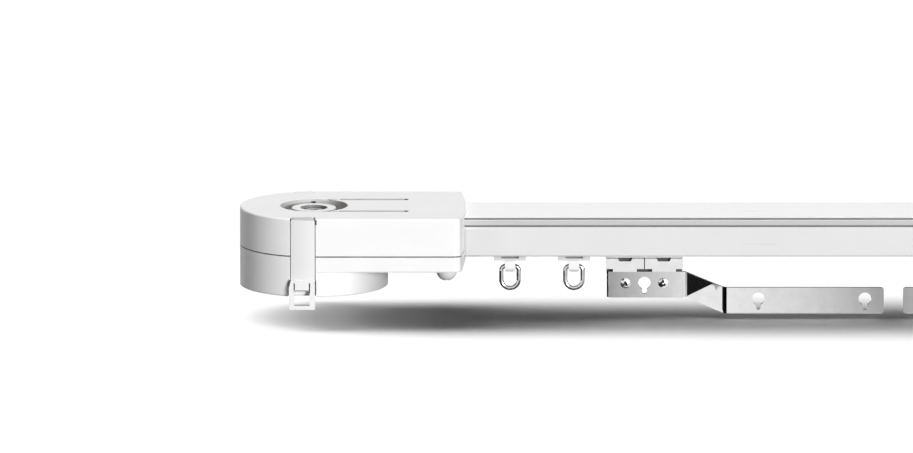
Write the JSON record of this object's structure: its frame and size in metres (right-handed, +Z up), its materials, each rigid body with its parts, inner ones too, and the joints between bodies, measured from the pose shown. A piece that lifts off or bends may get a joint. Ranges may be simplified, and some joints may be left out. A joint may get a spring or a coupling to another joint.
{
  "type": "electric curtain track",
  "caption": "White centre-opening curtain rail with a motor-ready drive box, an idler box, a hidden belt, chrome pull arms and ring runners that hang and draw curtains.",
  "frame": {"origin": "middle of the rail's length and width, on its top face, where the ceiling clips hold it", "axes": "+X along the rail from the drive box to the idler box, -Y to the front, +Z up to the ceiling"},
  "size_m": [0.6006, 0.0692, 0.0495],
  "materials": {
    "rail_paint": "white powder coat, satin",
    "housing_plastic": "white moulded plastic, satin gloss",
    "latch_plastic": "white moulded plastic, satin gloss",
    "pulley_plastic": "white moulded plastic, matt",
    "runner_plastic": "white moulded plastic, slightly waxy",
    "chassis_plastic": "black moulded plastic, matt",
    "wheel_plastic": "grey moulded plastic, matt",
    "screw_cap": "grey coated steel, satin",
    "sheet_chrome": "bright plated sheet steel",
    "ring_chrome": "bright plated wire",
    "steel": "turned steel",
    "dark_steel": "black oxide",
    "bronze": "sintered bronze",
    "belt_rubber": "black moulded rubber"
  },
  "bodies": {
    "track": {"rail": "rail_paint", "belt": "belt_rubber", "drive_upper_shell": "housing_plastic", "drive_lower_shell": "housing_plastic", "drive_end_screws": "screw_cap", "drive_inner_screws": "steel", "upper_bush": "bronze", "lower_bush": "bronze", "index_pin": "dark_steel", "latch_pins": "dark_steel", "idler_upper_shell": "housing_plastic", "idler_lower_shell": "housing_plastic", "idler_screws": "screw_cap", "idler_axle": "steel"},
    "drive_train": {"drive_pulley": "pulley_plastic", "drive_shaft": "steel"},
    "idler_train": {"idler_pulley": "pulley_plastic", "idler_bush": "bronze"},
    "front_latch": {"latch_front": "latch_plastic"},
    "back_latch": {"latch_back": "latch_plastic"},
    "left_carrier": {"carrier_left_chassis": "chassis_plastic", "carrier_left_hanger": "sheet_chrome", "carrier_left_arm": "sheet_chrome", "carrier_left_rivets": "sheet_chrome", "carrier_left_clamp": "runner_plastic"},
    "right_carrier": {"carrier_right_chassis": "chassis_plastic", "carrier_right_hanger": "sheet_chrome", "carrier_right_arm": "sheet_chrome", "carrier_right_rivets": "sheet_chrome", "carrier_right_clamp": "runner_plastic"},
    "left_carrier_outer_wheelset": {"carrier_left_outer_wheels": "wheel_plastic"},
    "left_carrier_inner_wheelset": {"carrier_left_inner_wheels": "wheel_plastic"},
    "right_carrier_outer_wheelset": {"carrier_right_outer_wheels": "wheel_plastic"},
    "right_carrier_inner_wheelset": {"carrier_right_inner_wheels": "wheel_plastic"},
    "left_outer_runner": {"runner_left_outer": "runner_plastic"},
    "left_outer_runner_wheelset": {"runner_left_outer_wheels": "wheel_plastic"},
    "left_outer_ring": {"runner_left_outer_ring": "ring_chrome"},
    "left_inner_runner": {"runner_left_inner": "runner_plastic"},
    "left_inner_runner_wheelset": {"runner_left_inner_wheels": "wheel_plastic"},
    "left_inner_ring": {"runner_left_inner_ring": "ring_chrome"},
    "right_outer_runner": {"runner_right_outer": "runner_plastic"},
    "right_outer_runner_wheelset": {"runner_right_outer_wheels": "wheel_plastic"},
    "right_outer_ring": {"runner_right_outer_ring": "ring_chrome"},
    "right_inner_runner": {"runner_right_inner": "runner_plastic"},
    "right_inner_runner_wheelset": {"runner_right_inner_wheels": "wheel_plastic"},
    "right_inner_ring": {"runner_right_inner_ring": "ring_chrome"}
  },
  "joints": [
    {"name": "carrier_left_slide", "type": "slide", "parent": "track", "child": "left_carrier", "axis": [1, 0, 0], "range_m": [-0.033, 0.004]},
    {"name": "carrier_right_slide", "type": "slide", "parent": "track", "child": "right_carrier", "axis": [1, 0, 0], "range_m": [-0.0042, 0.0332]},
    {"name": "drive_pulley_spin", "type": "hinge", "parent": "track", "child": "drive_train", "pos_m": [-0.2663, 0, -0.00935], "axis": [0, 0, 1], "range_deg": [-150, 19.7]},
    {"name": "idler_pulley_spin", "type": "hinge", "parent": "track", "child": "idler_train", "pos_m": [0.2663, 0, -0.00935], "axis": [0, 0, 1], "range_deg": [-150, 19.7]},
    {"name": "carrier_left_outer_wheels_roll", "type": "hinge", "parent": "left_carrier", "child": "left_carrier_outer_wheelset", "pos_m": [-0.1259, 0, -0.0125], "axis": [0, 1, 0], "range_deg": [-421.9, 52.6]},
    {"name": "carrier_left_inner_wheels_roll", "type": "hinge", "parent": "left_carrier", "child": "left_carrier_inner_wheelset", "pos_m": [-0.1029, 0, -0.0125], "axis": [0, 1, 0], "range_deg": [-421.9, 52.6]},
    {"name": "carrier_right_outer_wheels_roll", "type": "hinge", "parent": "right_carrier", "child": "right_carrier_outer_wheelset", "pos_m": [0.1259, 0, -0.0125], "axis": [0, 1, 0], "range_deg": [-52.6, 421.9]},
    {"name": "carrier_right_inner_wheels_roll", "type": "hinge", "parent": "right_carrier", "child": "right_carrier_inner_wheelset", "pos_m": [0.1029, 0, -0.0125], "axis": [0, 1, 0], "range_deg": [-52.6, 421.9]},
    {"name": "runner_left_outer_slide", "type": "slide", "parent": "track", "child": "left_outer_runner", "axis": [1, 0, 0], "range_m": [-0.01241, 0.00168]},
    {"name": "runner_left_outer_wheels_roll", "type": "hinge", "parent": "left_outer_runner", "child": "left_outer_runner_wheelset", "pos_m": [-0.1762, 0, -0.0125], "axis": [0, 1, 0], "range_deg": [-157.2, 20.6]},
    {"name": "runner_left_outer_ring_swing", "type": "hinge", "parent": "left_outer_runner", "child": "left_outer_ring", "pos_m": [-0.1762, 0, -0.02635], "axis": [1, 0, 0], "range_deg": [-75, 75]},
    {"name": "runner_left_inner_slide", "type": "slide", "parent": "track", "child": "left_inner_runner", "axis": [1, 0, 0], "range_m": [-0.02627, 0.00336]},
    {"name": "runner_left_inner_wheels_roll", "type": "hinge", "parent": "left_inner_runner", "child": "left_inner_runner_wheelset", "pos_m": [-0.1468, 0, -0.0125], "axis": [0, 1, 0], "range_deg": [-333.7, 42]},
    {"name": "runner_left_inner_ring_swing", "type": "hinge", "parent": "left_inner_runner", "child": "left_inner_ring", "pos_m": [-0.1468, 0, -0.02635], "axis": [1, 0, 0], "range_deg": [-75, 75]},
    {"name": "runner_right_outer_slide", "type": "slide", "parent": "track", "child": "right_outer_runner", "axis": [1, 0, 0], "range_m": [-0.00168, 0.01241]},
    {"name": "runner_right_outer_wheels_roll", "type": "hinge", "parent": "right_outer_runner", "child": "right_outer_runner_wheelset", "pos_m": [0.1762, 0, -0.0125], "axis": [0, 1, 0], "range_deg": [-20.6, 157.2]},
    {"name": "runner_right_outer_ring_swing", "type": "hinge", "parent": "right_outer_runner", "child": "right_outer_ring", "pos_m": [0.1762, 0, -0.02635], "axis": [1, 0, 0], "range_deg": [-75, 75]},
    {"name": "runner_right_inner_slide", "type": "slide", "parent": "track", "child": "right_inner_runner", "axis": [1, 0, 0], "range_m": [-0.00336, 0.02627]},
    {"name": "runner_right_inner_wheels_roll", "type": "hinge", "parent": "right_inner_runner", "child": "right_inner_runner_wheelset", "pos_m": [0.1468, 0, -0.0125], "axis": [0, 1, 0], "range_deg": [-42, 333.7]},
    {"name": "runner_right_inner_ring_swing", "type": "hinge", "parent": "right_inner_runner", "child": "right_inner_ring", "pos_m": [0.1468, 0, -0.02635], "axis": [1, 0, 0], "range_deg": [-75, 75]},
    {"name": "latch_front_swing", "type": "hinge", "parent": "track", "child": "front_latch", "pos_m": [-0.2663, -0.0292, -0.001], "axis": [-1, 0, 0], "range_deg": [0, 8], "stiffness_Nm_per_rad": 0.05},
    {"name": "latch_back_swing", "type": "hinge", "parent": "track", "child": "back_latch", "pos_m": [-0.2663, 0.0292, -0.001], "axis": [1, 0, 0], "range_deg": [0, 8], "stiffness_Nm_per_rad": 0.05}
  ],
  "couplings": [
    {"joint": "carrier_right_slide", "follows": "carrier_left_slide", "ratio": -1},
    {"joint": "drive_pulley_spin", "follows": "carrier_left_slide", "rad_per_m": 78.431},
    {"joint": "idler_pulley_spin", "follows": "carrier_left_slide", "rad_per_m": 78.431},
    {"joint": "carrier_left_outer_wheels_roll", "follows": "carrier_left_slide", "rad_per_m": 222.22},
    {"joint": "carrier_left_inner_wheels_roll", "follows": "carrier_left_slide", "rad_per_m": 222.22},
    {"joint": "carrier_right_outer_wheels_roll", "follows": "carrier_left_slide", "rad_per_m": -222.22},
    {"joint": "carrier_right_inner_wheels_roll", "follows": "carrier_left_slide", "rad_per_m": -222.22},
    {"joint": "runner_left_outer_slide", "follows": "carrier_left_slide", "ratio": 0.37},
    {"joint": "runner_left_outer_wheels_roll", "follows": "carrier_left_slide", "rad_per_m": 82.222},
    {"joint": "runner_left_inner_slide", "follows": "carrier_left_slide", "ratio": 0.79},
    {"joint": "runner_left_inner_wheels_roll", "follows": "carrier_left_slide", "rad_per_m": 175.56},
    {"joint": "runner_right_outer_slide", "follows": "carrier_left_slide", "ratio": -0.37},
    {"joint": "runner_right_outer_wheels_roll", "follows": "carrier_left_slide", "rad_per_m": -82.222},
    {"joint": "runner_right_inner_slide", "follows": "carrier_left_slide", "ratio": -0.79},
    {"joint": "runner_right_inner_wheels_roll", "follows": "carrier_left_slide", "rad_per_m": -175.56}
  ]
}
